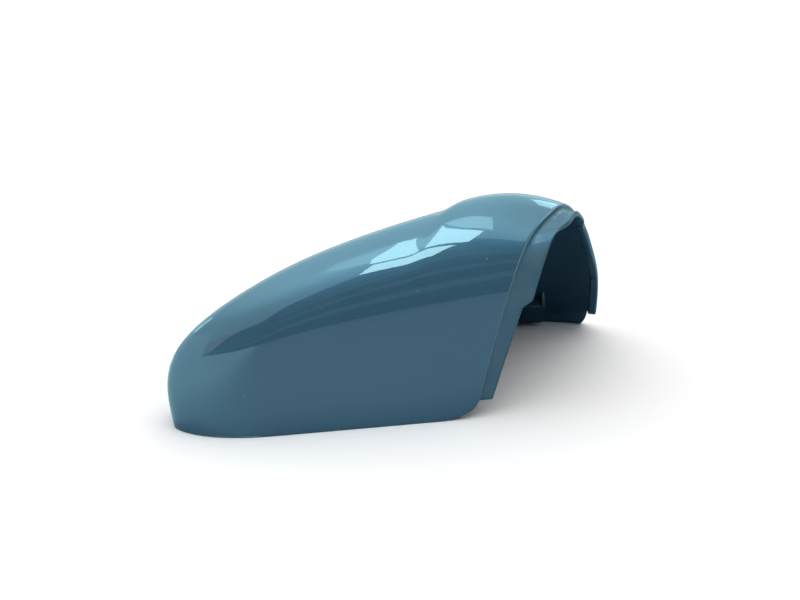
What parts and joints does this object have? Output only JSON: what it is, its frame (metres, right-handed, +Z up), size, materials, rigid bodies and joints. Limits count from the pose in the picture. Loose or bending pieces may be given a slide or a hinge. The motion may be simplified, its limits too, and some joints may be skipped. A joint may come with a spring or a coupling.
{
  "type": "wing mirror cover",
  "caption": "Painted moulded shell that covers the back of a car door mirror, with a flanged arch at its inboard end, locating pegs and snap clips.",
  "frame": {"origin": "on the flat rim at the outboard tip, in the middle of the wall", "axes": "+X along the cover from the outboard tip to the open arch at the inboard end, +Z up from the rim plane to the crown, +Y from the upright near wall to the far wall"},
  "size_m": [0.2296, 0.1205, 0.0989],
  "materials": {
    "painted_shell": "blue-grey car paint under a gloss clear coat outside, bare dark blue primer on the moulded inside"
  },
  "bodies": {
    "root": {"mirror_cover": "painted_shell"}
  },
  "joints": []
}
